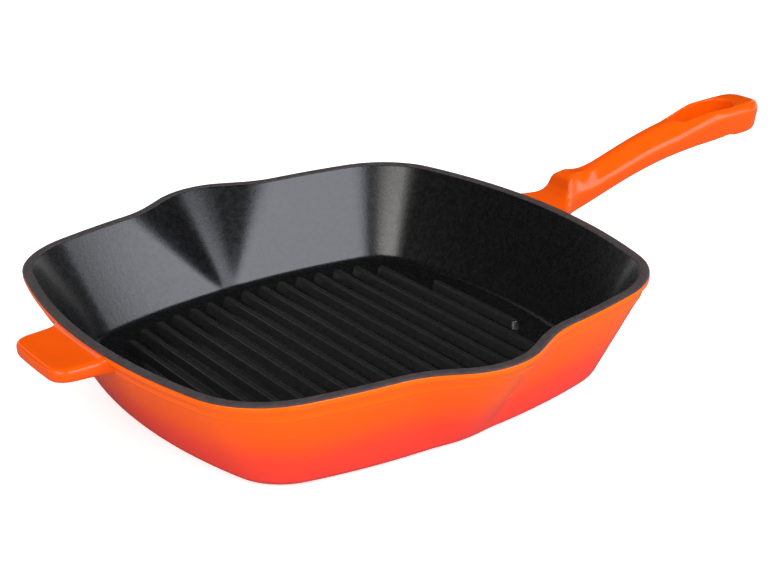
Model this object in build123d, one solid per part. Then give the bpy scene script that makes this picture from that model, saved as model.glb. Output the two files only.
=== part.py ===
from build123d import *
from math import acos, cos, hypot, radians, sin, sqrt
import os

# An enamelled cast iron grill pan: a square pan with bulged sides, rounded corners and two pouring
# spouts, a long handle with a hanging hole, a short helper handle, and raised ribs on its floor.
# Millimetres. The origin is at the middle of the underside, +Z is up, and +X runs along the long
# handle. The spouts are on the two Y sides.

# Overall body
pan_height = 53.5
pan_half_width = 135.0
rim_corner_radius = 48.9
bulge_angle = 15.1
rim_width = 4.7
rim_edge_radius = 1.3
lip_height = 3.2
lip_step = 0.6
lip_edge_radius = 0.8

# Base and floor
base_half_width = 109.0
base_corner_radius = 31.0
base_edge_radius = 10.0
floor_level = 6.0
floor_half_width = 106.0
floor_corner_radius = 28.0
floor_edge_radius = 5.0

# Pouring spouts
spout_reach = 14.4
spout_nose_radius = 38.0
spout_flank_angle = 31.0
spout_blend_radius = 50.0
spout_foot_outside = 10.0
spout_foot_inside = 7.0

# Grill ribs
rib_pitch = 10.98
rib_height = 4.5
rib_foot_width = 6.6
rib_crest_width = 3.4
rib_edge_radius = 1.1
rib_field_half_width = 90.5
rib_field_corner_radius = 28.0

# Enamel coats
coat = 0.5
base_coat_line = 2.0

# Long handle, seen from above: the neck's distance out from the rim, the others back from the end
handle_reach = 150.0
handle_root_width = 70.0
handle_neck_width = 19.6
handle_grip_width = 21.8
handle_loop_width = 28.8
neck_at = 9.5
grip_end_back = 71.0
loop_start_back = 35.0
neck_flare_radius = 14.0
grip_blend_radius = 150.0
loop_blend_radius = 120.0

# Long handle, its upper line seen from the side: distances out from the rim, heights above it, and
# the arch's place as a share of the reach
neck_root_drop = 3.2
neck_bend_at = 7.5
neck_bend_rise = 1.7
neck_bend_radius = 12.0
stop_foot_at = 12.2
stop_foot_rise = 5.0
stop_foot_radius = 2.0
stop_face_run = 1.2
stop_face_rise = 5.6
stop_face_radius = 2.6
stop_crest_at = 18.0
stop_crest_rise = 11.5
stop_crest_radius = 6.0
dip_at = 26.5
dip_rise = 9.2
dip_radius = 22.0
arch_share = 0.593
arch_rise = 26.9
arch_radius = 240.0
tip_rise = 28.7

# Long handle, its lower line
neck_root_depth = 8.0
neck_under_at = 13.0
neck_under_drop = 7.2
neck_under_radius = 40.0
under_arch_share = 0.533
under_arch_radius = 270.0
loop_depth = 17.1

# Long handle, its edges
handle_top_edge_radius = 2.2
handle_under_edge_radius = 3.6

# Hanging hole in the long handle: its two ends, back from the handle's end
hole_near_radius = 6.2
hole_far_radius = 9.6
hole_near_back = 54.0
hole_far_back = 26.5
hole_top_edge_radius = 1.8
hole_under_edge_radius = 0.9

# Helper handle
tab_reach = 24.0
tab_root_width = 66.0
tab_neck_width = 52.4
tab_end_width = 49.0
tab_neck_at = 2.4
tab_flare_radius = 4.0
tab_corner_radius = 8.5
tab_end_bulge = 1.2
tab_drop = 1.8
tab_thickness = 7.9
tab_end_thickness = 6.2
tab_top_edge_radius = 1.8
tab_under_edge_radius = 2.6
tab_dish_length = 30.0
tab_dish_width = 15.0
tab_dish_depth = 0.8
tab_dish_at = 13.5

# Where the handles start, measured inwards from the rim's outer face, and what every cut overruns
handle_root_inset = 8.0
overrun = 5.0

turn = radians(bulge_angle)
rim_top = pan_height
lip_foot = pan_height - lip_height
rim_coat_line = pan_height - coat
handle_end = pan_half_width + handle_reach


def side_arc_radius(half_width, corner_radius):
    return (half_width - corner_radius) / (1 + sin(turn) - cos(turn)) + corner_radius


def on_circle(centre_y, radius, angle):
    return (radius * sin(angle), centre_y + radius * cos(angle))


def full_spout(half_width, corner_radius, inset):
    # Half of a spout's outline at the rim, from the side arc to its nose
    side = side_arc_radius(half_width, corner_radius)
    side_centre = half_width - side
    nose = spout_nose_radius - inset
    nose_centre = half_width + spout_reach - nose
    blend = spout_blend_radius + inset
    flank = radians(spout_flank_angle)
    lean = (nose + blend + (nose_centre - side_centre) * cos(flank)) / (side + blend)
    start = flank - acos(lean)
    blend_x, blend_y = on_circle(side_centre, side + blend, start)
    middle = (start + flank) / 2
    return {
        "start": on_circle(side_centre, side, start),
        "blend": (blend_x - blend * sin(middle), blend_y - blend * cos(middle)),
        "flank": (blend_x - blend * sin(flank), blend_y - blend * cos(flank)),
        "straight": None,
        "nose": on_circle(nose_centre, nose, flank),
        "tip": (0, half_width + spout_reach),
    }


def faded_spout(half_width, corner_radius, foot):
    # The same points where the spout has run out into the side arc
    side = side_arc_radius(half_width, corner_radius)
    rim_points = full_spout(pan_half_width, rim_corner_radius, 0)
    rim_start = rim_points["start"][0]

    def on_side(x):
        return (x, half_width - side + sqrt(side**2 - x**2))

    flank_x = foot * rim_points["flank"][0] / rim_start
    nose_x = foot * rim_points["nose"][0] / rim_start
    return {
        "start": on_side(foot),
        "blend": on_side((foot + flank_x) / 2),
        "flank": on_side(flank_x),
        "straight": on_side((flank_x + nose_x) / 2),
        "nose": on_side(nose_x),
        "tip": (0, half_width),
    }


def pan_outline(half_width, corner_radius, spout, level):
    # A closed outline of 20 edges, the same in number and order at every level. Each edge runs from
    # one knot to the next, straight where there is no point between them and as an arc where there is.
    side = side_arc_radius(half_width, corner_radius)
    centre = half_width - side
    diagonal = (side - corner_radius) * sin(turn) + corner_radius * sqrt(2) / 2
    spout_start = acos((spout["start"][1] - centre) / side)
    side_end_x, side_end_y = on_circle(centre, side, turn)
    knots = [(side_end_y, side_end_x), (side_end_x, side_end_y)]
    knots += [spout["start"], spout["flank"], spout["nose"]]
    between = [(diagonal, diagonal), on_circle(centre, side, (turn + spout_start) / 2)]
    between += [spout["blend"], spout["straight"]]
    knots += [mirrored(point) for point in reversed(knots)]
    between += [spout["tip"]] + [mirrored(point) for point in reversed(between)]
    knots += [opposite(point) for point in knots]
    between += [(-half_width, 0)] + [opposite(point) for point in between] + [(half_width, 0)]
    edges = []
    for index, middle in enumerate(between):
        begin, finish = (*knots[index], level), (*knots[(index + 1) % len(knots)], level)
        if middle is None:
            edges.append(Edge.make_line(begin, finish))
        else:
            edges.append(Edge.make_three_point_arc(begin, (*middle, level), finish))
    return Wire(edges)


def mirrored(point):
    return point and (-point[0], point[1])


def opposite(point):
    return point and (-point[0], -point[1])


def rim_outline(inset, level):
    half_width = pan_half_width - inset
    corner_radius = rim_corner_radius - inset
    return pan_outline(half_width, corner_radius, full_spout(half_width, corner_radius, inset), level)


def foot_outline(half_width, corner_radius, foot, level):
    return pan_outline(half_width, corner_radius, faded_spout(half_width, corner_radius, foot), level)


def outer_form(skin):
    # The outside of the pan, drawn in by a skin: a straight flared wall under a low rounded lip
    slope = (pan_half_width - lip_step - base_half_width) / lip_foot
    across = skin * hypot(1, slope)
    wall_top = lip_foot + skin
    upper = rim_outline(lip_step + across - skin * slope, wall_top)
    lower_half = base_half_width + skin * slope - across
    lower = foot_outline(lower_half, base_corner_radius - across, spout_foot_outside, skin)
    wall = Solid.make_loft([lower, upper], ruled=True)
    lip = Solid.extrude(Face(rim_outline(skin, wall_top)), Vector(0, 0, lip_height - 2 * skin))
    base_edges = [e for e in wall.edges() if e.center().Z < skin + 1e-4]
    wall = wall.fillet(base_edge_radius - skin, base_edges)
    lip_edges = [e for e in lip.edges() if abs(e.center().Z - wall_top) < 1e-4]
    lip = lip.fillet(lip_edge_radius - skin, lip_edges)
    rim_edges = [e for e in lip.edges() if abs(e.center().Z - rim_top + skin) < 1e-4]
    lip = lip.fillet(rim_edge_radius - skin, rim_edges)
    return Part() + wall + lip


def cavity(skin):
    # The space inside the pan, grown by a skin, and run straight up past the rim
    slope = (pan_half_width - rim_width - floor_half_width) / (rim_top - floor_level)
    across = skin * hypot(1, slope)
    lower_half = floor_half_width + across - skin * slope
    lower = foot_outline(lower_half, floor_corner_radius + across, spout_foot_inside, floor_level - skin)
    mouth = rim_outline(rim_width - across, rim_top)
    space = Solid.make_loft([lower, mouth], ruled=True)
    floor_edges = [e for e in space.edges() if e.center().Z < floor_level - skin + 1e-4]
    space = space.fillet(floor_edge_radius + skin, floor_edges)
    return Part() + space + Solid.extrude(Face(mouth), Vector(0, 0, overrun))


def pan(skin):
    # The hollow pan, with the inner edge of its rim rounded
    body = (outer_form(skin) - cavity(skin)).solid()
    rim = body.faces().sort_by(Axis.Z)[-1]
    return body.fillet(rim_edge_radius - skin, rim.inner_wires()[0].edges())


def slab(low, high):
    size = 4 * pan_half_width
    return Pos(0, 0, low) * Box(size, size, high - low, align=(Align.CENTER, Align.CENTER, Align.MIN))


def flat_at(body, level):
    faces = [f for f in body.faces() if abs(f.center().Z - level) < 1e-4]
    return [f for f in faces if abs(f.normal_at().Z) > 1 - 1e-6][0]


def coat_between(whole, core, low, high):
    # The coat between two nested forms from one level to another. It takes its faces from both, as
    # their rounded base edges lie too close together to cut one out of the other.
    whole, core = (whole & slab(low, high)).solid(), (core & slab(low, high)).solid()
    levels = [level for level in (low, high) if level > 0]
    ends = [(flat_at(whole, level), flat_at(core, level)) for level in levels]
    cut_faces = [face for pair in ends for face in pair]
    faces = [f for f in whole.faces() + core.faces() if not any(f.is_same(cut) for cut in cut_faces)]
    faces += [Face(big.outer_wire(), [small.outer_wire()]) for big, small in ends]
    return Solid(Shell(faces))


# Grill ribs


def field_reach(x):
    # How far along Y the rib field runs at a given X: a bulged square with rounded corners
    side = side_arc_radius(rib_field_half_width, rib_field_corner_radius)
    centre = rib_field_half_width - side
    corner = (side - rib_field_corner_radius) * sin(turn)
    if x <= side * sin(turn):
        return centre + sqrt(side**2 - x**2)
    if x <= centre + side * cos(turn):
        return corner + sqrt(max(rib_field_corner_radius**2 - (x - corner) ** 2, 0))
    return sqrt(max(side**2 - (x - centre) ** 2, 0))


def rib_places():
    count = int((rib_field_half_width - rib_crest_width / 2) / rib_pitch)
    return [index * rib_pitch for index in range(-count, count + 1)]


def rib(x, skin):
    # One rib: a flat bar with round ends, leaning sides and a rounded crest
    foot_width, crest_width = rib_foot_width - 2 * skin, rib_crest_width - 2 * skin
    length = 2 * (field_reach(abs(x)) - skin)
    foot = SlotOverall(length + foot_width - crest_width, foot_width, rotation=90)
    crest = SlotOverall(length, crest_width, rotation=90)
    top = floor_level + rib_height - skin
    bar = loft([Pos(x, 0, floor_level - skin) * foot, Pos(x, 0, top) * crest], ruled=True)
    crest_edges = [e for e in bar.edges() if abs(e.center().Z - top) < 1e-4]
    return bar.solid().fillet(rib_edge_radius - skin / 2, crest_edges)


# Handles: each is the solid common to its outline from above and its outline from the side


def common_solid(from_above, from_side, skin):
    # Both outlines are drawn in by the skin. The handle runs along X.
    if skin:
        from_above, from_side = offset(from_above, -skin), offset(from_side, -skin)
    size = 4 * pan_half_width
    upright = extrude(from_above, size)
    sideways = extrude(Plane.XZ.offset(-size / 2) * from_side, size)
    return (upright & sideways).solid()


def shoulders(body, facing, reach):
    # The edges where upright sides meet faces that look up (facing 1) or down (facing -1), past a reach
    upright = [f for f in body.faces() if abs(f.normal_at().Z) < 0.01]
    tilted = [f for f in body.faces() if f.normal_at().Z * facing > 0.01]
    sides = [e for f in upright for e in f.edges() if e.bounding_box().max.X > reach]
    rims = [e for f in tilted for e in f.edges()]
    return [e for e in sides if any(e.is_same(other) for other in rims)]


def handle_start():
    return pan_half_width - handle_root_inset


def outline(upper, upper_radii, lower, lower_radii):
    # A face between two lines of points whose corners are rounded
    over = FilletPolyline(*upper, radius=upper_radii)
    under = FilletPolyline(*lower, radius=lower_radii) if lower_radii else Polyline(*lower)
    return make_face([over, Line(over @ 1, under @ 1), under, Line(under @ 0, over @ 0)])


def long_handle_from_above():
    loop_radius = handle_loop_width / 2
    loop_at = handle_end - loop_radius
    flank = FilletPolyline(
        (handle_start(), handle_root_width / 2),
        (pan_half_width + neck_at, handle_neck_width / 2),
        (handle_end - grip_end_back, handle_grip_width / 2),
        (handle_end - loop_start_back, loop_radius),
        (loop_at, loop_radius),
        radius=(neck_flare_radius, grip_blend_radius, loop_blend_radius),
    )
    far_flank = mirror(flank, Plane.XZ)
    tip = ThreePointArc(flank @ 1, (loop_at + loop_radius, 0), far_flank @ 1)
    return make_face([flank, tip, far_flank, Line(far_flank @ 0, flank @ 0)])


def long_handle_from_side():
    # A rising neck, a thumb stop with a dip behind it, and a long arch
    finish = handle_end + overrun
    stop_face_at = stop_foot_at + stop_face_run
    under_arch_at = pan_half_width + handle_reach * under_arch_share
    upper = [
        (handle_start(), rim_top - neck_root_drop),
        (pan_half_width + neck_bend_at, rim_top + neck_bend_rise),
        (pan_half_width + stop_foot_at, rim_top + stop_foot_rise),
        (pan_half_width + stop_face_at, rim_top + stop_foot_rise + stop_face_rise),
        (pan_half_width + stop_crest_at, rim_top + stop_crest_rise),
        (pan_half_width + dip_at, rim_top + dip_rise),
        (pan_half_width + handle_reach * arch_share, rim_top + arch_rise),
        (finish, rim_top + tip_rise),
    ]
    upper_radii = (neck_bend_radius, stop_foot_radius, stop_face_radius, stop_crest_radius)
    upper_radii += (dip_radius, arch_radius)
    loop_under = rim_top + tip_rise - loop_depth
    lower = [
        (handle_start(), rim_top - neck_root_drop - neck_root_depth),
        (pan_half_width + neck_under_at, rim_top - neck_under_drop),
        (under_arch_at, loop_under),
        (finish, loop_under),
    ]
    return outline(upper, upper_radii, lower, (neck_under_radius, under_arch_radius))


def hanging_hole(skin):
    # A teardrop hole: the space round two circles of different size
    near = Pos(handle_end - hole_near_back, 0) * Circle(hole_near_radius + skin)
    far = Pos(handle_end - hole_far_back, 0) * Circle(hole_far_radius + skin)
    return extrude(make_hull((near + far).edges()), 4 * pan_half_width)


def long_handle(skin):
    bar = common_solid(long_handle_from_above(), long_handle_from_side(), skin)
    start = pan_half_width
    bar = bar.fillet(handle_top_edge_radius - skin, shoulders(bar, 1, start))
    bar = bar.fillet(handle_under_edge_radius - skin, shoulders(bar, -1, start))
    hole = hanging_hole(skin)
    bar = (bar - hole).solid()
    for facing, radius in ((1, hole_top_edge_radius), (-1, hole_under_edge_radius)):
        hole_edges = [e for e in shoulders(bar, facing, start) if e.distance_to(hole) < 1e-4]
        bar = bar.fillet(radius - skin, hole_edges)
    return bar


def helper_handle_from_above():
    end_at = pan_half_width + tab_reach
    flank = Polyline(
        (handle_start(), tab_root_width / 2),
        (pan_half_width + tab_neck_at, tab_neck_width / 2),
        (end_at - tab_end_bulge, tab_end_width / 2),
    )
    far_flank = mirror(flank, Plane.XZ)
    end = ThreePointArc(flank @ 1, (end_at, 0), far_flank @ 1)
    plan = make_face([flank, end, far_flank, Line(far_flank @ 0, flank @ 0)])
    by_reach = plan.vertices().sort_by(Axis.X)
    plan = fillet(by_reach[-2:], tab_corner_radius)
    by_reach = plan.vertices().sort_by(Axis.X)
    return fillet(by_reach[2:4], tab_flare_radius)


def helper_handle_from_side():
    top = rim_top - tab_drop
    finish = pan_half_width + tab_reach + overrun
    corners = [(handle_start(), top), (finish, top)]
    corners += [(finish, top - tab_end_thickness), (handle_start(), top - tab_thickness)]
    return make_face(Polyline(*corners, close=True))


def thumb_dish(skin):
    # A shallow oval hollow, cut by the underside of a ring that stands across the handle
    along = (tab_dish_length**2 / 4 + tab_dish_depth**2) / (2 * tab_dish_depth)
    across = (tab_dish_width**2 / 4 + tab_dish_depth**2) / (2 * tab_dish_depth)
    ring = Torus(along - across, across + skin, rotation=(0, 90, 0))
    return Pos(pan_half_width + tab_dish_at, 0, rim_top - tab_drop - tab_dish_depth + along) * ring


def helper_handle(skin):
    tab = common_solid(helper_handle_from_above(), helper_handle_from_side(), skin)
    tab = tab.fillet(tab_top_edge_radius - skin, shoulders(tab, 1, pan_half_width))
    tab = tab.fillet(tab_under_edge_radius - skin, shoulders(tab, -1, pan_half_width))
    return Rot(0, 0, 180) * (tab - thumb_dish(skin)).solid()


# The pieces. What lies inside the skin is iron, and the coats are what lies between the skins.

outer, outer_iron = outer_form(0), outer_form(coat)
coated_pan, iron_pan = pan(0), pan(coat)
base_coat = coat_between(outer, outer_iron, -overrun, base_coat_line)
outer_coat = coat_between(outer, outer_iron, base_coat_line, rim_coat_line)
rim_coat = coated_pan & slab(rim_coat_line, rim_top + overrun)
wall_coats = (coated_pan & slab(base_coat_line, rim_coat_line)) - iron_pan
inner_coat = wall_coats.solids().sort_by(lambda solid: solid.bounding_box().size.X)[0]

coated_ribs = [rib(x, 0) for x in rib_places()]
iron_ribs = [rib(x, coat) for x in rib_places()]
rib_coats = [(whole - core).solid() for whole, core in zip(coated_ribs, iron_ribs)]

coated_long, iron_long = long_handle(0), long_handle(coat)
coated_helper, iron_helper = helper_handle(0), helper_handle(coat)

nodes = {
    "pan_casting": iron_pan,
    "grill_ribs": Compound(iron_ribs),
    "long_handle_casting": iron_long - outer_iron,
    "helper_handle_casting": iron_helper - outer_iron,
    "outer_enamel": outer_coat - iron_long - iron_helper,
    "base_enamel": base_coat,
    "inner_enamel": inner_coat - iron_ribs,
    "rim_enamel": rim_coat,
    "rib_enamel": Compound(rib_coats),
    "long_handle_enamel": coated_long - iron_long - outer,
    "helper_handle_enamel": coated_helper - iron_helper - outer,
}

os.makedirs("parts", exist_ok=True)
for name, shape in nodes.items():
    export_step(shape, f"parts/{name}.step")
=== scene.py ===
# %% [markdown]
# # A square grill pan in enamelled cast iron
#
# The pan is one iron casting with glass enamel fused over it. Its pieces already have their real
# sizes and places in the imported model, so this script only gives them their finish. Everything is in
# metres. The origin lies under the middle of the base, +Z is up, +X runs along the long handle, and
# the two pouring spouts are on the Y sides.

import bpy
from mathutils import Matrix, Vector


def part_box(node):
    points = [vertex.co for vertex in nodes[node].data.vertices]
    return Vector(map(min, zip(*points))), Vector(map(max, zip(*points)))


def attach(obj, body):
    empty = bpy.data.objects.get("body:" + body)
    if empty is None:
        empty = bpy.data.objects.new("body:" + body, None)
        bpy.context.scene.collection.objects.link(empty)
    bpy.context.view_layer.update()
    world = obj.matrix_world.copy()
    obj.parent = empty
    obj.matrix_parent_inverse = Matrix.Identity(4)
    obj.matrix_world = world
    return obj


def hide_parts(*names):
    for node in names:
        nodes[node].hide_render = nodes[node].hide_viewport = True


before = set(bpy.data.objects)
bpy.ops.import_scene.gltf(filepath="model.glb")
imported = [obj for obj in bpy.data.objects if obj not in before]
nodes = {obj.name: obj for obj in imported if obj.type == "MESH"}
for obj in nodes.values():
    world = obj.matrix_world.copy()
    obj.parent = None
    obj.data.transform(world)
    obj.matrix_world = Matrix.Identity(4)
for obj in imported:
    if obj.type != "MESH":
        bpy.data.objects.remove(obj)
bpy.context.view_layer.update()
print("pieces in the frame:", len(nodes))

# %% Modules that the cells below use
import math

import bmesh
import bpy
import numpy as np
from mathutils import Matrix, Vector

# %% [markdown]
# ## The camera
#
# The picture was taken from the front left, looking down at the pan by about 23 degrees. The camera's
# place was worked out from the rim's corners, the base and the rib ends. A lens can be set by its
# focal length in pixels: Blender wants millimetres on a 36 mm sensor, so the two are converted here.

# %% Camera at the photograph's viewing angle
picture_width = 772
focal_pixels = 1794.2
camera_place = Vector((-0.42224, -0.70205, 0.38178))
camera_heading = math.radians(-32.947)
camera_pitch = math.radians(22.722)
camera_roll = math.radians(-3.013)


def make_camera():
    backwards = Vector((
        math.sin(camera_heading) * math.cos(camera_pitch),
        -math.cos(camera_heading) * math.cos(camera_pitch),
        math.sin(camera_pitch),
    ))
    level_right = Vector((math.cos(camera_heading), math.sin(camera_heading), 0))
    level_up = backwards.cross(level_right)
    right = level_right * math.cos(camera_roll) + level_up * math.sin(camera_roll)
    up = level_up * math.cos(camera_roll) - level_right * math.sin(camera_roll)
    turn = Matrix((right, up, backwards)).transposed().to_4x4()
    data = bpy.data.cameras.new("camera")
    data.lens = focal_pixels / picture_width * data.sensor_width
    camera = bpy.data.objects.new("camera", data)
    camera.matrix_world = Matrix.Translation(camera_place) @ turn
    bpy.context.scene.collection.objects.link(camera)
    bpy.context.scene.camera = camera
    print("lens in millimetres:", round(data.lens, 2))


make_camera()

# %% [markdown]
# ## The studio
#
# Glossy enamel shows the room more than it shows itself, so the lights are part of its look. One
# large soft panel stands to the right behind the camera. The far inner wall of the pan mirrors it,
# which gives that wall its blue-grey sheen. A smaller and warmer one stands at the left. The
# backdrop shows as pure white to the camera and to mirrored rays, and lights the pan itself with a
# weaker, even light. Dark cards, which only mirrored rays can see, keep the other walls and the
# handles dark where, seen from the front, the white backdrop would wash them out.

# %% Plain settings for colour
bpy.context.scene.view_settings.view_transform = "Standard"


def new_material(name):
    material = bpy.data.materials.new(name)
    material.use_nodes = True
    material.node_tree.nodes.clear()
    return material


# %% White backdrop
def add_node(tree, kind, **values):
    # Adds a shader node and sets its inputs by name
    node = tree.nodes.new(kind)
    for key, value in values.items():
        node.inputs[key].default_value = value
    return node


def seen_rays(tree):
    # 1 for what the camera sees, also in a mirror or through glass, and 0 for light on the pan
    path = tree.nodes.new("ShaderNodeLightPath")
    seen = path.outputs["Is Camera Ray"]
    for other in ("Is Glossy Ray", "Is Transmission Ray"):
        either = add_node(tree, "ShaderNodeMath")
        either.operation = "MAXIMUM"
        tree.links.new(seen, either.inputs[0])
        tree.links.new(path.outputs[other], either.inputs[1])
        seen = either.outputs[0]
    return seen


def make_backdrop(soft_light_level, white_level):
    world = bpy.data.worlds.new("studio")
    bpy.context.scene.world = world
    world.use_nodes = True
    tree = world.node_tree
    tree.nodes.clear()
    soft = add_node(tree, "ShaderNodeBackground", Color=(1, 1, 1, 1), Strength=soft_light_level)
    white = add_node(tree, "ShaderNodeBackground", Color=(1, 1, 1, 1), Strength=white_level)
    mix = tree.nodes.new("ShaderNodeMixShader")
    tree.links.new(seen_rays(tree), mix.inputs[0])
    tree.links.new(soft.outputs[0], mix.inputs[1])
    tree.links.new(white.outputs[0], mix.inputs[2])
    output = tree.nodes.new("ShaderNodeOutputWorld")
    tree.links.new(mix.outputs[0], output.inputs["Surface"])


make_backdrop(soft_light_level=0.7, white_level=1.0)

# %% Pale floor
floor_reach = 4.0
floor_lift = 0.6


def make_floor():
    bpy.ops.mesh.primitive_plane_add(size=2 * floor_reach, location=(0, 0, 0))
    floor = bpy.context.object
    floor.name = "floor"
    material = new_material("pale floor")
    tree = material.node_tree
    matt = add_node(tree, "ShaderNodeBsdfDiffuse", Color=(0.8, 0.8, 0.8, 1))
    glow = add_node(tree, "ShaderNodeEmission", Color=(1, 1, 1, 1))
    lift = add_node(tree, "ShaderNodeMath")
    lift.operation = "MULTIPLY"
    lift.inputs[1].default_value = floor_lift
    tree.links.new(seen_rays(tree), lift.inputs[0])
    tree.links.new(lift.outputs[0], glow.inputs["Strength"])
    both = tree.nodes.new("ShaderNodeAddShader")
    tree.links.new(matt.outputs[0], both.inputs[0])
    tree.links.new(glow.outputs[0], both.inputs[1])
    output = tree.nodes.new("ShaderNodeOutputMaterial")
    tree.links.new(both.outputs[0], output.inputs["Surface"])
    floor.data.materials.append(material)


make_floor()


# %% Soft panels
def towards(heading, height, distance):
    # A place in the studio from its compass heading, its angle above the horizon and its distance
    heading, height = math.radians(heading), math.radians(height)
    level = distance * math.cos(height)
    return (level * math.cos(heading), level * math.sin(heading), distance * math.sin(height))


def soft_panel(name, place, aim, width, height, watts, colour=(1, 1, 1)):
    data = bpy.data.lights.new(name, "AREA")
    data.shape = "RECTANGLE"
    data.size, data.size_y = width, height
    data.energy = watts
    data.color = colour
    panel = bpy.data.objects.new(name, data)
    panel.location = place
    panel.rotation_euler = (Vector(aim) - Vector(place)).to_track_quat("-Z", "Y").to_euler()
    bpy.context.scene.collection.objects.link(panel)
    return panel


pan_middle = (0, 0, 0.03)
soft_panel("key panel", towards(-72, 34, 2.0), pan_middle, 2.35, 1.5, 45, (0.85, 0.89, 1.0))
soft_panel("side panel", towards(-161, 32, 1.9), pan_middle, 1.3, 0.6, 12, (1.0, 0.98, 0.93))


# %% Dark cards
lies_flat_below = 0.1


def dark_card(name, place, width, height, shade=0.01):
    # A card that only mirrored rays can see
    bpy.ops.mesh.primitive_plane_add(size=1, location=place)
    card = bpy.context.object
    card.name = name
    card.scale = (width, height, 1)
    if place[2] > lies_flat_below:
        aim = Vector(pan_middle) - Vector(place)
        card.rotation_euler = aim.to_track_quat("-Z", "Y").to_euler()
    material = new_material(name)
    tree = material.node_tree
    matt = add_node(tree, "ShaderNodeBsdfDiffuse", Color=(shade, shade, shade, 1))
    output = tree.nodes.new("ShaderNodeOutputMaterial")
    tree.links.new(matt.outputs[0], output.inputs["Surface"])
    card.data.materials.append(material)
    card.visible_camera = card.visible_diffuse = card.visible_shadow = False
    card.visible_transmission = False


cards = [
    ("card above", towards(0, 90, 2.2), 3.6, 3.6),
    ("card behind", towards(58, 34, 2.4), 2.0, 2.7),
    ("card at the back left", towards(132, 30, 2.4), 2.9, 2.5),
    ("card at the right", towards(-8, 38, 2.4), 2.6, 2.2),
    ("card at the camera", towards(-116, 40, 2.5), 0.9, 2.2),
    ("card round the foot", (0, 0, 0.0004), 1.6, 1.6, 0.18),
]
for card in cards:
    dark_card(*card)


# %% [markdown]
# ## The outline of the pan
#
# Seen from above the pan is a square whose sides bulge a little and whose corners are round, with a
# spout in the middle of two sides. All of that is arcs that meet smoothly, so the outline is worked
# out arc by arc instead of being drawn by hand. A quarter of it is enough: the rest is its mirror
# image. The same number of points is used at every height, so that the rings can be joined into a
# wall point by point.

# %% Sizes that the frame gives
rim_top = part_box("rim_enamel")[1].z
rim_half_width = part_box("outer_enamel")[1].x
spout_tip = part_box("outer_enamel")[1].y
print("rim height and half width:", round(rim_top, 4), round(rim_half_width, 4))

# %% Sizes of the outline
bulge = math.radians(15.1)
rim_corner = 0.0489
nose_radius = 0.038
blend_radius = 0.050
flank_angle = math.radians(31)


def arc(centre_x, centre_y, radius, start, finish, count):
    # Points on an arc, its angles measured from +Y towards +X, without its last point
    angle = np.linspace(start, finish, count, endpoint=False)
    return np.stack([centre_x + radius * np.sin(angle), centre_y + radius * np.cos(angle)], axis=1)


def side_radius(half_width, corner):
    return (half_width - corner) / (1 + math.sin(bulge) - math.cos(bulge)) + corner


# %% A quarter of the outline, with the spout and with the spout faded out
points_on_nose, points_on_line, points_on_blend, points_on_side, points_on_corner = 14, 5, 14, 26, 30


def corner_and_sides(half_width, corner, start):
    side = side_radius(half_width, corner)
    centre = half_width - side
    middle = (side - corner) * math.sin(bulge)
    return [
        arc(0, centre, side, start, bulge, points_on_side),
        arc(middle, middle, corner, bulge, math.pi / 2 - bulge, points_on_corner),
        arc(centre, 0, side, math.pi / 2 - bulge, math.pi / 2, points_on_side),
    ]


def spout_geometry(inset):
    # Where the arcs of the spout meet when the whole outline is drawn in by the inset
    half_width, corner = rim_half_width - inset, rim_corner - inset
    side = side_radius(half_width, corner)
    side_centre = half_width - side
    nose = nose_radius - inset
    nose_centre = spout_tip - inset - nose
    blend = blend_radius + inset
    lean = (nose + blend + (nose_centre - side_centre) * math.cos(flank_angle)) / (side + blend)
    start = flank_angle - math.acos(lean)
    return half_width, corner, side + blend, side_centre, nose, nose_centre, blend, start


def quarter_with_spout(inset):
    half_width, corner, reach, side_centre, nose, nose_centre, blend, start = spout_geometry(inset)
    blend_x, blend_y = reach * math.sin(start), side_centre + reach * math.cos(start)
    nose_end = np.array([nose * math.sin(flank_angle), nose_centre + nose * math.cos(flank_angle)])
    to_blend = (blend * math.sin(flank_angle), blend * math.cos(flank_angle))
    blend_begin = np.array([blend_x - to_blend[0], blend_y - to_blend[1]])
    steps = np.linspace(0, 1, points_on_line, endpoint=False)[:, None]
    parts = [
        arc(0, nose_centre, nose, 0, flank_angle, points_on_nose),
        nose_end + (blend_begin - nose_end) * steps,
        arc(blend_x, blend_y, -blend, flank_angle, start, points_on_blend),
    ]
    return np.concatenate(parts + corner_and_sides(half_width, corner, start))


def quarter_faded(half_width, corner, foot):
    # The same points where the spout has run out into the side, a foot's half width from its middle
    side = side_radius(half_width, corner)
    rim_start = spout_geometry(0)
    full_width = rim_start[2] * math.sin(rim_start[7]) - rim_start[6] * math.sin(rim_start[7])
    nose_x = foot * nose_radius * math.sin(flank_angle) / full_width
    line_x = rim_start[2] * math.sin(rim_start[7]) - rim_start[6] * math.sin(flank_angle)
    line_x *= foot / full_width
    angles = [0] + [math.asin(x / side) for x in (nose_x, line_x, foot)]
    counts = (points_on_nose, points_on_line, points_on_blend)
    centre = half_width - side
    parts = [arc(0, centre, side, angles[i], angles[i + 1], counts[i]) for i in range(3)]
    return np.concatenate(parts + corner_and_sides(half_width, corner, angles[3]))


# %% The full ring from its quarter
def full_ring(quarter, last):
    # The quarter runs from the spout's tip to the middle of the +X side, which is the last point
    right_top = np.vstack([quarter, last])
    right = np.vstack([right_top, (right_top * (1, -1))[::-1][1:]])
    left = (right * (-1, 1))[::-1][1:-1]
    return np.vstack([right, left])


def rim_ring(inset):
    quarter = quarter_with_spout(inset)
    return full_ring(quarter, (rim_half_width - inset, 0))


def foot_ring(half_width, corner, foot):
    return full_ring(quarter_faded(half_width, corner, foot), (half_width, 0))


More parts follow.
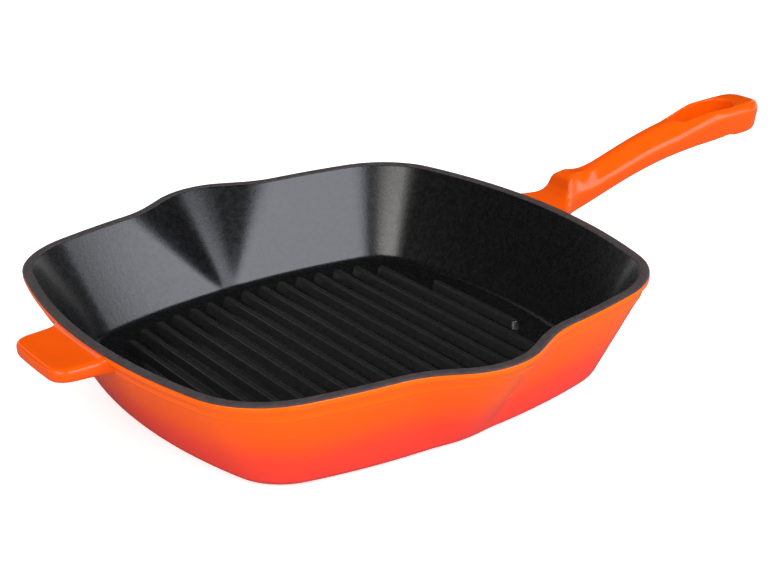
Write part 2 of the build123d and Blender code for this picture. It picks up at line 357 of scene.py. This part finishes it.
def outward(ring):
    # The direction that points out of a ring at each of its points
    along = np.roll(ring, -1, axis=0) - np.roll(ring, 1, axis=0)
    normal = np.stack([-along[:, 1], along[:, 0]], axis=1)
    normal *= np.sign((normal * ring).sum())
    return normal / np.linalg.norm(normal, axis=1)[:, None]


print("points in a ring:", len(rim_ring(0)))

# %% [markdown]
# ## From rings to surfaces
#
# Every surface of the pan is a stack of rings: each ring is one height of the wall, one step round
# the edge of the base or one step over the rim. A helper joins neighbouring rings with four-sided
# faces. The coats are closed skins with a thickness of their own, so each open stack gets a Solidify
# modifier that grows it inwards.


# %% Join rings into a mesh
def ring_mesh(name, rings, close_last):
    # The rings hold x, y and z. The last one may be closed with a flat face.
    count = len(rings[0])
    points = np.concatenate(rings)
    faces = []
    for level in range(len(rings) - 1):
        low, high = level * count, (level + 1) * count
        for index in range(count):
            after = (index + 1) % count
            faces.append((low + index, low + after, high + after, high + index))
    if close_last:
        start = (len(rings) - 1) * count
        faces.append(tuple(start + index for index in range(count)))
    mesh = bpy.data.meshes.new(name)
    mesh.from_pydata(points.tolist(), [], faces)
    mesh.validate()
    mesh.update()
    mesh.shade_smooth()
    piece = bpy.data.objects.new(name, mesh)
    bpy.context.scene.collection.objects.link(piece)
    return piece


def level_ring(ring, height):
    heights = np.broadcast_to(np.asarray(height, float), (len(ring),))
    return np.column_stack([ring, heights])


def thicken(piece, thickness):
    skin = piece.modifiers.new("coat", "SOLIDIFY")
    skin.thickness = thickness
    skin.offset = -1
    skin.use_even_offset = True


# %% A bowl: flat middle, round edge and flared wall
def bowl_rings(lower, upper, bottom, top, edge_radius, wall_parts, edge_steps):
    # From the top of the wall down to where the edge runs into the flat middle. The wall parts are
    # the places of the wall's rings, 0 at its top and 1 where the edge begins.
    normal = outward(lower)
    lean = ((upper - lower) * normal).sum(axis=1) / (top - bottom)
    turn = math.pi / 2 - np.arctan(lean)
    edge_height = edge_radius * (1 - np.cos(turn))
    shares = edge_height / (top - bottom)
    rings = []
    for part in wall_parts:
        share = 1 - (1 - shares) * part
        ring = lower + (upper - lower) * share[:, None]
        rings.append(level_ring(ring, bottom + share * (top - bottom)))
    wall_foot = lower + (upper - lower) * shares[:, None]
    for step in range(edge_steps + 1):
        angle = turn * (1 - step / edge_steps)
        shift = edge_radius * (np.sin(angle) - np.sin(turn))
        ring = wall_foot + normal * shift[:, None]
        rings.append(level_ring(ring, bottom + edge_radius * (1 - np.cos(angle))))
    return rings

# %% [markdown]
# ## The outside of the pan
#
# From the rim down the colour enamel covers a low lip, steps in under it, and follows the flared wall
# to a generously rounded base edge. Nine millimetres below the rim a fine ridge runs all the way
# round, with a shallow hollow above it. Enamel pools in an inward corner and never leaves a sharp
# one, so the step under the lip is eased with a short curve.

# %% Sizes of the outside
lip_height = 0.0032
lip_step = 0.0006
lip_edge = 0.0008
rim_edge = 0.0013
ridge_below = 0.0058
ridge_half_width = 0.0006
ridge_rise = 0.0003
hollow_depth = 0.00035
coat = 0.0005
coat_skin = 0.8 * coat
base_half_width = 0.1090
base_corner = 0.031
base_edge = 0.010
spout_foot = 0.016
base_edge_steps = 13
steps_to_base_coat = 8
parts_at_ridge = np.linspace(0, 0.2, 36)
parts_below_ridge = np.linspace(0.23, 1, 22, endpoint=False)
outside_parts = np.concatenate([parts_at_ridge, parts_below_ridge])
lip_foot = rim_top - lip_height


def edge_places(inset, height, radius, start, finish, steps):
    # Insets and heights along the arc of a rounded edge, its angle measured up from outwards
    places = []
    for step in range(steps + 1):
        angle = start + (finish - start) * step / steps
        places.append((inset - radius * math.cos(angle), height + radius * math.sin(angle)))
    return places


def eased(before, corner, after, steps):
    # Rings along a short curve that cuts the corner between three rings
    shares = [step / steps for step in range(steps + 1)]
    return [before * (1 - t) ** 2 + corner * 2 * t * (1 - t) + after * t**2 for t in shares]


# %% Rings of the outside
coat_angle = math.asin((rim_edge - coat) / rim_edge)
quarter_turn = math.pi / 2


def with_ridge(ring):
    # Moves a ring of the wall in where the hollow under the lip is and out where the ridge is
    below = lip_foot - ring[:, 2]
    hollow = np.sin(np.pi * np.clip(below / ridge_below, 0, 1)) ** 2
    bead = np.exp(-(((below - ridge_below) / ridge_half_width) ** 2))
    shift = ridge_rise * bead - hollow_depth * hollow
    return ring + np.column_stack([outward(ring[:, :2]) * shift[:, None], np.zeros(len(ring))])


def outside_rings():
    lip = edge_places(rim_edge, rim_top - rim_edge, rim_edge, coat_angle, 0, 4)
    lip += edge_places(lip_edge, lip_foot + lip_edge, lip_edge, 0, -quarter_turn, 6)
    rings = [level_ring(rim_ring(inset), height) for inset, height in lip]
    lower = foot_ring(base_half_width, base_corner, spout_foot)
    wall = bowl_rings(lower, rim_ring(lip_step), 0, lip_foot, base_edge, outside_parts, base_edge_steps)
    wall = [with_ridge(ring) for ring in wall]
    return rings + eased(rings[-1], wall[0], wall[2], 4)[1:] + wall[3:]


outside = outside_rings()
walls_outside = ring_mesh("walls_outside", outside[:-steps_to_base_coat], close_last=False)
base_outside = ring_mesh("base_outside", outside[-steps_to_base_coat - 1:], close_last=True)
for piece, node in ((walls_outside, "outer_enamel"), (base_outside, "base_enamel")):
    thicken(piece, coat_skin)
    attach(piece, "root")
    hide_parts(node)
print("faces on the outside:", len(walls_outside.data.polygons) + len(base_outside.data.polygons))

# %% [markdown]
# ## The rim and the inside
#
# The rim carries only the dark ground coat, because it is wiped clean before the colour is fired. The
# inside is one bowl: a flared wall that turns into the floor with a smaller radius than outside.

# %% Sizes of the inside
rim_width = 0.0047
floor_level = 0.006
floor_half_width = 0.106
floor_corner = 0.028
floor_edge = 0.005
spout_foot_inside = 0.007
inside_parts = np.linspace(0, 1, 40, endpoint=False)
floor_edge_steps = 10
edge_shares = (0, 0.15, 0.3, 0.45, 0.6, 0.75)
shares_below = (0.75, 0.83, 0.91, 1)


# %% Rings over the rim and down into the pan
def inner_edge_ring(share):
    # The rounded inner edge, from the flat top (share 0) to the wall (share 1)
    lower = foot_ring(floor_half_width, floor_corner, spout_foot_inside)
    upper = rim_ring(rim_width)
    lean = np.arctan(((upper - lower) * outward(upper)).sum(axis=1) / (rim_top - floor_level))
    angle = quarter_turn + (quarter_turn - lean) * share
    reach = rim_edge * (np.tan((quarter_turn - lean) / 2) + np.cos(angle))
    ring = upper + outward(upper) * reach[:, None]
    return level_ring(ring, rim_top - rim_edge + rim_edge * np.sin(angle))


def rim_rings():
    outer_edge = edge_places(rim_edge, rim_top - rim_edge, rim_edge, coat_angle, quarter_turn, 5)
    rings = [level_ring(rim_ring(inset), height) for inset, height in outer_edge]
    first, last = rings[-1], inner_edge_ring(0)
    rings += [first + (last - first) * share for share in (0.25, 0.5, 0.75)]
    return rings + [inner_edge_ring(share) for share in edge_shares]


def inside_rings():
    lower = foot_ring(floor_half_width, floor_corner, spout_foot_inside)
    upper = rim_ring(rim_width)
    wall = bowl_rings(lower, upper, floor_level, rim_top, floor_edge, inside_parts, floor_edge_steps)
    return [inner_edge_ring(share) for share in shares_below] + wall[1:]


rim_piece = ring_mesh("rim_top_coat", rim_rings(), close_last=False)
inside_piece = ring_mesh("inside_coat", inside_rings(), close_last=True)
for piece, node in ((rim_piece, "rim_enamel"), (inside_piece, "inner_enamel")):
    thicken(piece, coat_skin)
    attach(piece, "root")
    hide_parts(node)
print("faces on the rim and inside:", len(rim_piece.data.polygons) + len(inside_piece.data.polygons))

# %% [markdown]
# ## The grill ribs
#
# A rib is a long low bar with round ends and a rounded crest. Its foot runs into the floor with a
# small hollow, as iron has to flow there. Each rib is a stack of stadium-shaped rings, and the ends of
# all ribs together follow a bulged square like the pan's own.

# %% Sizes of the ribs
rib_pitch = 0.01098
rib_height = 0.0045
rib_foot = 0.0033
rib_crest = 0.0017
rib_edge = 0.0011
rib_hollow = 0.0009
rib_sink = 0.0003
field_half_width = 0.0905
field_corner = 0.028
points_on_rib_end = 12


def field_reach(x):
    side = side_radius(field_half_width, field_corner)
    centre = field_half_width - side
    corner = (side - field_corner) * math.sin(bulge)
    if x <= side * math.sin(bulge):
        return centre + math.sqrt(side**2 - x**2)
    if x <= centre + side * math.cos(bulge):
        return corner + math.sqrt(max(field_corner**2 - (x - corner) ** 2, 0))
    return math.sqrt(max(side**2 - (x - centre) ** 2, 0))


# %% Rib section
def rounded_path(corners, radii, steps):
    # The corners of a path, each rounded with an arc of its radius
    path = [corners[0]]
    for before, corner, after, radius in zip(corners, corners[1:], corners[2:], radii):
        into = (Vector(before) - Vector(corner)).normalized()
        out = (Vector(after) - Vector(corner)).normalized()
        half = into.angle(out) / 2
        centre = Vector(corner) + (into + out).normalized() * radius / math.sin(half)
        begin = Vector(corner) + into * radius / math.tan(half) - centre
        end = Vector(corner) + out * radius / math.tan(half) - centre
        for step in range(steps + 1):
            share = step / steps
            between = begin.slerp(end, share, begin)
            path.append(tuple(centre + between.normalized() * radius))
    return path + [corners[-1]]


rib_top = floor_level + rib_height
rib_corners = [
    (rib_foot + rib_hollow * 2, floor_level - rib_sink),
    (rib_foot + rib_hollow * 1.2, floor_level),
    (rib_foot, floor_level),
    (rib_crest, rib_top),
    (rib_crest / 3, rib_top),
]
rib_section = rounded_path(rib_corners, (rib_sink, rib_hollow, rib_edge), 6)


# %% Build the ribs
def rib_rings(x, end):
    rings = []
    turns = np.linspace(0, math.pi, points_on_rib_end)
    for radius, height in rib_section:
        cap = np.column_stack([radius * np.cos(turns), end + radius * np.sin(turns)])
        ring = np.vstack([cap, -cap])
        rings.append(level_ring(ring + (x, 0), height))
    return rings


def build_ribs():
    count = int((field_half_width - rib_crest) / rib_pitch)
    ribs = []
    for index in range(-count, count + 1):
        x = index * rib_pitch
        ribs.append(ring_mesh("rib", rib_rings(x, field_reach(abs(x)) - rib_crest), close_last=True))
    bpy.ops.object.select_all(action="DESELECT")
    for rib in ribs:
        rib.select_set(True)
    bpy.context.view_layer.objects.active = ribs[0]
    bpy.ops.object.join()
    ribs[0].name = "grill_rib_coats"
    return ribs[0], len(ribs)


rib_piece, rib_count = build_ribs()
thicken(rib_piece, coat_skin)
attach(rib_piece, "root")
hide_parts("rib_enamel")
print("ribs:", rib_count)

# %% [markdown]
# ## The long handle
#
# The handle is a bar with soft facets: a narrow flat top, sides that lean out to the widest line
# below the middle, and a rounded underside. Seen from the side it dips behind a thumb stop and then
# arches up to a loop with a teardrop hole. It is built as a row of sections that fit between the
# upper and the lower line. The first sections lean with the pan's wall, so that they stay inside
# it. Modifiers then cut the hole, make the surface even and soften every edge, as the mould and the
# grinding wheel do for a real casting.

# %% Sizes of the long handle
handle_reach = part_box("long_handle_enamel")[1].x - rim_half_width
handle_root = -0.0035
wall_lean = 0.5
lean_until = 0.0085
neck_flank = [(-0.008, 0.035), (0.0095, 0.0100), (0.040, 0.0110), (0.079, 0.0120), (0.115, 0.0146),
              (0.1356, 0.0146)]
flank_radii = (0.014, 0.15, 0.15, 0.12)
upper_line = [(-0.008, -0.0028), (0.0060, 0.0022), (0.0098, 0.0062), (0.0118, 0.0118), (0.018, 0.0134),
              (0.0265, 0.0120), (0.089, 0.0290), (0.155, 0.0281)]
upper_radii = (0.010, 0.002, 0.003, 0.006, 0.022, 0.24)
lower_line = [(-0.008, -0.0120), (0.013, -0.0088), (0.080, 0.0104), (0.155, 0.0104)]
lower_radii = (0.04, 0.27)
stations = (0, 0.010, 0.018, 0.035, 0.085, 0.112, 0.150)
top_shares = (0.85, 0.75, 0.55, 0.22, 0.22, 0.72, 0.82)
widest_shares = (0.50, 0.50, 0.50, 0.55, 0.55, 0.78, 0.78)
under_share = 0.68
facet_radii = (0.003, 0.0045, 0.004)
full_height, full_width = 0.0145, 0.0115
neck_until, bar_from, bar_until = 0.04, 0.041, 0.1346
neck_rings, bar_rings, tip_rings = 70, 60, 22
last_tip_turn = math.radians(84)
top_fall, under_rise = 0.0055, 0.005
hole_centres, hole_radii = (0.096, 0.1235), (0.0066, 0.0098)
points_near, points_far = 24, 36
cutter_height = 0.2
voxel = 0.0006
handle_passes, tab_passes = 12, 10
print("handle reach:", round(handle_reach, 4))


# %% Sections along a handle
def line_at(corners, radii, places):
    path = np.array(rounded_path(corners, radii, 10))
    return np.interp(places, path[:, 0], path[:, 1])


def closed_section(half):
    # A closed section from its half, which runs from the top middle to the bottom middle
    half = np.array(half)
    return np.vstack([half, (half * (-1, 1))[::-1][1:-1]])


def facet_section(place, width, low, high):
    # The flat top's share of the width and the widest line's share of the height change on the way
    height = high - low
    scale = min(1, height / full_height, width / full_width)
    top, widest = (np.interp(place, stations, shares) for shares in (top_shares, widest_shares))
    corners = [(0, high), (top * width, high), (width, low + widest * height)]
    corners += [(under_share * width, low), (0, low)]
    return closed_section(rounded_path(corners, [radius * scale for radius in facet_radii], 6))


def section_ring(place, section):
    # Stands a section across the handle and leans it with the wall where it is near
    fade = np.clip((lean_until - place) / (lean_until - handle_root), 0, 1)
    along = rim_half_width + place + wall_lean * fade * section[:, 1]
    return np.column_stack([along, section[:, 0], rim_top + section[:, 1]])


# %% Sections of the long handle
def long_handle_rings():
    tip = neck_flank[-1][1]
    tip_turns = np.linspace(0, last_tip_turn, tip_rings)
    neck_places = np.linspace(handle_root, neck_until, neck_rings)
    bar_places = np.linspace(bar_from, bar_until, bar_rings)
    places = np.concatenate([neck_places, bar_places, handle_reach - tip + tip * np.sin(tip_turns)])
    widths = line_at(neck_flank, flank_radii, places)
    widths[-len(tip_turns):] = tip * np.cos(tip_turns)
    highs = line_at(upper_line, upper_radii, places)
    lows = line_at(lower_line, lower_radii, places)
    highs[-len(tip_turns):] -= top_fall * (1 - np.cos(tip_turns)) ** 2
    lows[-len(tip_turns):] += under_rise * (1 - np.cos(tip_turns)) ** 2
    return [section_ring(place, facet_section(place, width, low, high))
            for place, width, low, high in zip(places, widths, lows, highs)]


def teardrop_cutter():
    # The hull of two circles, as a prism that stands through the loop
    centres = [(rim_half_width + centre, 0) for centre in hole_centres]
    lean = math.asin((hole_radii[1] - hole_radii[0]) / (centres[1][0] - centres[0][0]))
    near = np.linspace(quarter_turn + lean, 3 * quarter_turn - lean, points_near)
    far = np.linspace(-quarter_turn - lean, quarter_turn + lean, points_far)
    circle = []
    for (middle, _), radius, angles in zip(centres, hole_radii, (near, far)):
        circle += [(middle + radius * math.cos(a), radius * math.sin(a)) for a in angles]
    ring = np.array(circle)
    ends = [level_ring(ring, height) for height in (0.0, cutter_height)]
    return ring_mesh("hole_cutter", ends, close_last=True)


# %% From sections to a softened bar
def close_first(piece, count):
    # Caps the ring that a mesh starts with
    work = bmesh.new()
    work.from_mesh(piece.data)
    work.verts.ensure_lookup_table()
    work.faces.new([work.verts[index] for index in reversed(range(count))])
    bmesh.ops.recalc_face_normals(work, faces=work.faces)
    work.to_mesh(piece.data)
    work.free()


def closed_bar(name, rings):
    bar = ring_mesh(name, rings, close_last=True)
    close_first(bar, len(rings[0]))
    return bar


def soften(piece, passes):
    even = piece.modifiers.new("even surface", "REMESH")
    even.mode = "VOXEL"
    even.voxel_size = voxel
    even.use_smooth_shade = True
    soft = piece.modifiers.new("soft edges", "SMOOTH")
    soft.factor = 0.5
    soft.iterations = passes


def settle(piece):
    # Keeps what the modifiers make and drops the modifiers
    evaluated = piece.evaluated_get(bpy.context.evaluated_depsgraph_get())
    mesh = bpy.data.meshes.new_from_object(evaluated)
    piece.modifiers.clear()
    piece.data = mesh


# %% Build the long handle
long_handle = closed_bar("long_handle_coat", long_handle_rings())
cutter = teardrop_cutter()
close_first(cutter, points_near + points_far)
cut = long_handle.modifiers.new("hanging hole", "BOOLEAN")
cut.operation = "DIFFERENCE"
cut.solver = "EXACT"
cut.object = cutter
soften(long_handle, handle_passes)
settle(long_handle)
bpy.data.objects.remove(cutter)
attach(long_handle, "root")
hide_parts("long_handle_enamel", "long_handle_casting")
print("faces on the long handle:", len(long_handle.data.polygons))

# %% [markdown]
# ## The helper handle
#
# The short handle on the other side is a flat tab with round corners. Its top rises a little where
# it meets the rim, as the fillet of the casting does, and holds a shallow hollow for the thumb.

# %% Sizes of the helper handle
tab_reach = -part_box("helper_handle_enamel")[0].x - rim_half_width
tab_flank = [(-0.008, 0.0328), (0.0022, 0.0262), (tab_reach - 0.0014, 0.0248), (tab_reach, 0.0)]
tab_corner = 0.0095
tab_flare = 0.004
tab_drop = 0.0018
tab_rise, tab_rise_reach = 0.0011, 0.0018
tab_under = [(-0.008, -0.0097), (0.03, -0.0082)]
tab_edges = (0.0026, 0.0028)
tab_full = 0.006
tab_end_length = tab_corner + 0.002
tab_rings_before, tab_rings_at_end = 40, 30
last_tab_turn = math.radians(86)
dish_at, dish_depth, dish_long, dish_wide = 0.0125, 0.0007, 0.0065, 0.014
dish_above = rim_top - tab_drop - 0.002
print("helper handle reach:", round(tab_reach, 4))


# %% Build the helper handle
def tab_rings():
    turns = np.linspace(0, last_tab_turn, tab_rings_at_end)
    end_from = tab_reach - tab_end_length
    before = np.linspace(handle_root, end_from, tab_rings_before, endpoint=False)
    places = np.concatenate([before, end_from + tab_end_length * np.sin(turns)])
    widths = line_at(tab_flank, (tab_flare, tab_corner), places)
    highs = -tab_drop + tab_rise * np.exp(-np.clip(places, 0, None) / tab_rise_reach)
    lows = np.interp(places, *zip(*tab_under))
    rings = []
    for place, width, low, high in zip(places, widths, lows, highs):
        near = [np.clip(1 - (tab_reach - place) / edge, 0, 1) for edge in tab_edges]
        high -= tab_edges[0] * (1 - math.sqrt(1 - near[0] ** 2))
        low += tab_edges[1] * (1 - math.sqrt(1 - near[1] ** 2))
        scale = min(1, width / tab_full, (high - low) / tab_full)
        corners = [(0, high), (width, high), (width, low), (0, low)]
        section = closed_section(rounded_path(corners, [edge * scale for edge in tab_edges], 6))
        rings.append(section_ring(place, section) * (-1, -1, 1))
    return rings


def press_dish(piece):
    # Sinks the top of the tab along an oval that fades out
    for vertex in piece.data.vertices:
        if vertex.co.z > dish_above and vertex.co.x < -rim_half_width:
            along = (-vertex.co.x - rim_half_width - dish_at) / dish_long
            across = vertex.co.y / dish_wide
            vertex.co.z -= dish_depth * math.exp(-(along**2) - across**2)


helper_handle = closed_bar("helper_handle_coat", tab_rings())
soften(helper_handle, tab_passes)
settle(helper_handle)
press_dish(helper_handle)
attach(helper_handle, "root")
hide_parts("helper_handle_enamel", "helper_handle_casting")
print("faces on the helper handle:", len(helper_handle.data.polygons))

# %% [markdown]
# ## The finish
#
# Four kinds of enamel and the iron under them. All of them are worked out from the object's own
# coordinates, so nothing depends on a picture or on where the camera stands. Each finish has three
# layers of detail: a colour that changes over the surface, a mottled gloss, and bumps that break up
# the mirrored lights the way a cast surface does.

# %% Building blocks for the finishes
def shader_output(tree, shader):
    output = tree.nodes.new("ShaderNodeOutputMaterial")
    tree.links.new(shader.outputs[0], output.inputs["Surface"])


def object_point(tree):
    return tree.nodes.new("ShaderNodeTexCoord").outputs["Object"]


def noise(tree, point, scale, detail=3.0, roughness=0.5):
    texture = add_node(tree, "ShaderNodeTexNoise", Scale=scale, Detail=detail, Roughness=roughness)
    tree.links.new(point, texture.inputs["Vector"])
    return texture.outputs["Factor" if "Factor" in texture.outputs else "Fac"]


def remap(tree, value, low, high, to_low, to_high):
    # A value between low and high is turned into one between to_low and to_high
    node = add_node(tree, "ShaderNodeMapRange")
    for socket, number in zip(list(node.inputs)[1:5], (low, high, to_low, to_high)):
        socket.default_value = number
    tree.links.new(value, node.inputs["Value"])
    return node.outputs["Result"]


def colour_ramp(tree, value, stops):
    ramp = tree.nodes.new("ShaderNodeValToRGB")
    elements = ramp.color_ramp.elements
    while len(elements) < len(stops):
        elements.new(0.5)
    for element, (place, colour) in zip(elements, stops):
        element.position = place
        element.color = (*colour, 1)
    tree.links.new(value, ramp.inputs["Fac"])
    return ramp.outputs["Color"]


def bump(tree, height, distance, strength, before=None):
    node = add_node(tree, "ShaderNodeBump", Strength=strength, Distance=distance)
    tree.links.new(height, node.inputs["Height"])
    if before:
        tree.links.new(before, node.inputs["Normal"])
    return node.outputs["Normal"]


def add_values(tree, first, second, share):
    node = add_node(tree, "ShaderNodeMath")
    node.operation = "MULTIPLY_ADD"
    tree.links.new(second, node.inputs[0])
    node.inputs[1].default_value = share
    tree.links.new(first, node.inputs[2])
    return node.outputs[0]


# %% [markdown]
# The outside goes from orange at the rim to coral red at the base. The colour is sprayed, so the
# change follows the height above the table and wanders a little from place to place. Fired glass is
# smooth but never flat: a wide, shallow ripple bends the mirrored lights.

# %% Orange enamel that turns coral red towards the base
def colour_enamel(name, painted_shade_factor):
    # The painted shade factor darkens the orange: the handles get a darker copy of the walls' enamel,
    # painted shade for how dull they look in the light
    material = new_material(name)
    tree = material.node_tree
    point = object_point(tree)
    apart = tree.nodes.new("ShaderNodeSeparateXYZ")
    tree.links.new(point, apart.inputs[0])
    wandering = add_values(tree, apart.outputs["Z"], noise(tree, point, 14, 1.0), 0.008)
    share = remap(tree, wandering, 0.004, 0.054, 0, 1)
    colour = colour_ramp(tree, share, [
        (0.0, (0.82, 0.048, 0.038)),
        (0.35, (0.88, 0.058, 0.022)),
        (0.62, (0.92, 0.096, 0.004)),
        (1.0, (0.93 * painted_shade_factor, 0.118 * painted_shade_factor**2, 0.001)),
    ])
    skin = add_node(tree, "ShaderNodeBsdfPrincipled", **{"Specular IOR Level": 0.3})
    tree.links.new(colour, skin.inputs["Base Color"])
    tree.links.new(remap(tree, noise(tree, point, 90), 0.3, 0.7, 0.1, 0.17), skin.inputs["Roughness"])
    ripple = bump(tree, noise(tree, point, 55, 1.0), 0.0004, 0.15)
    tree.links.new(bump(tree, noise(tree, point, 420, 2.0), 0.00006, 0.2, ripple), skin.inputs["Normal"])
    shader_output(tree, skin)
    return material


# %% [markdown]
# The inside is a satin black enamel over a cast surface, so it has two bumps: pebbles about two
# millimetres wide, and a fine grain that spreads the mirrored light. The ribs get a paler copy of the
# same black, painted light that stands in for their lit crests. The rim carries the dark grey ground
# coat, which is nearly matt. The iron under the enamel is never seen, but keeps its own look.

# %% Satin black, ground coat, base enamel and iron
def grained(name, dark, pale, level, rough_low, rough_high, pebble, grain):
    # Pebble and grain each hold the scale of the pattern, the height of its relief and its strength
    material = new_material(name)
    tree = material.node_tree
    point = object_point(tree)
    skin = add_node(tree, "ShaderNodeBsdfPrincipled", **{"Specular IOR Level": level})
    mottle = noise(tree, point, pebble[0] / 2)
    tree.links.new(colour_ramp(tree, mottle, [(0.3, dark), (0.7, pale)]), skin.inputs["Base Color"])
    tree.links.new(remap(tree, mottle, 0.3, 0.7, rough_low, rough_high), skin.inputs["Roughness"])
    coarse = bump(tree, noise(tree, point, pebble[0], 2.0), pebble[1], pebble[2])
    fine = bump(tree, noise(tree, point, grain[0], 2.0), grain[1], grain[2], coarse)
    tree.links.new(fine, skin.inputs["Normal"])
    shader_output(tree, skin)
    return material


orange = colour_enamel("colour enamel", 1.0)
# The handles' copy of the orange is darker: painted shade, as their enamel is the same as the walls'
shaded_handle_orange = colour_enamel("handle enamel painted darker", 0.84)
black = grained("satin black enamel", (0.004, 0.004, 0.004), (0.007, 0.007, 0.007), 0.6, 0.24, 0.3,
                (700, 0.00012, 0.3), (1800, 0.00004, 0.35))
# The ribs' black is paler than the inside's: painted light for their lit crests, as the enamel is the
# same
rib_black_painted_lighter = grained("rib enamel painted lighter", (0.013, 0.013, 0.013), (0.018, 0.018, 0.018), 0.6, 0.2, 0.25,
                    (700, 0.00005, 0.2), (1800, 0.00002, 0.2))
grey = grained("ground coat", (0.040, 0.031, 0.031), (0.062, 0.050, 0.050), 0.3, 0.5, 0.62,
               (700, 0.0001, 0.3), (2500, 0.00004, 0.4))
coral = grained("base enamel", (0.70, 0.035, 0.022), (0.76, 0.045, 0.030), 0.3, 0.3, 0.4,
                (300, 0.0001, 0.3), (1500, 0.00003, 0.3))
iron = grained("cast iron", (0.09, 0.087, 0.083), (0.15, 0.145, 0.14), 0.5, 0.55, 0.75,
               (500, 0.0003, 0.5), (2200, 0.0001, 0.5))

# %% Dress every piece
def dress(piece, material):
    piece.data.materials.clear()
    piece.data.materials.append(material)


for name, node in nodes.items():
    dress(node, orange if name.endswith("handle_enamel") else iron)
dress(walls_outside, orange)
dress(long_handle, shaded_handle_orange)
dress(helper_handle, shaded_handle_orange)
dress(base_outside, coral)
dress(rim_piece, grey)
dress(inside_piece, black)
dress(rib_piece, rib_black_painted_lighter)
print("finishes:", sorted(material.name for material in bpy.data.materials))
